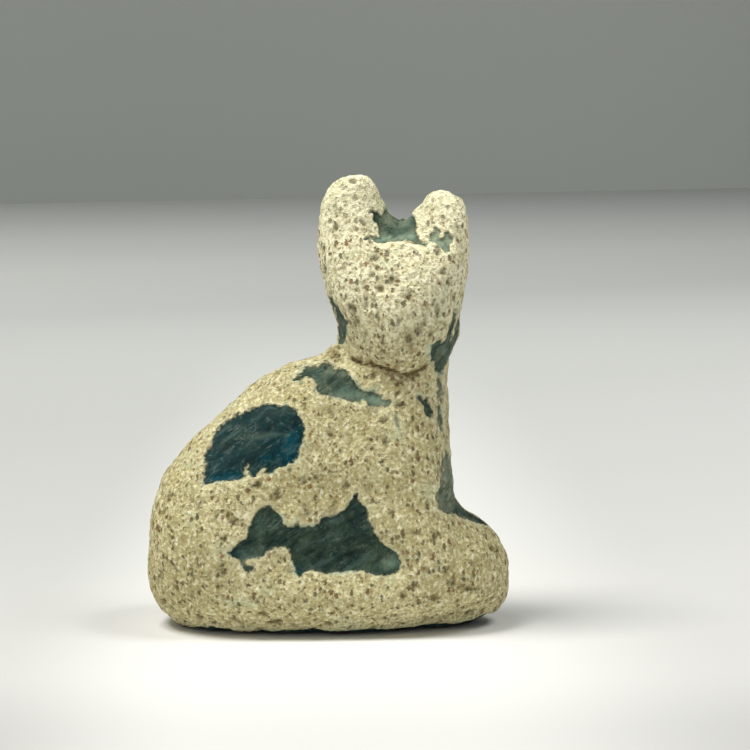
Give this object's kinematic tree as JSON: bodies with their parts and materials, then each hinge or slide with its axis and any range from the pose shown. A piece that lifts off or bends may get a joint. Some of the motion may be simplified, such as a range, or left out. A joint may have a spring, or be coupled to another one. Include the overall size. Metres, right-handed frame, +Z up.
{
  "type": "cat amulet",
  "caption": "Small faience cat amulet: a seated cat side on, its head turned to face out over the flank, worn pale body with dark blue-green glaze left in patches, flat underside.",
  "frame": {"origin": "on the flat underside, at the middle of the box around the piece", "axes": "+Z up along the height, +X from the rump towards the chest and forepaws, and the face looks along -Y"},
  "size_m": [0.0112, 0.0054, 0.014],
  "materials": {
    "faience": "matt worn faience, porous and specked, with patches of dark blue-green glaze"
  },
  "bodies": {
    "root": {"cat_amulet": "faience"}
  },
  "joints": []
}
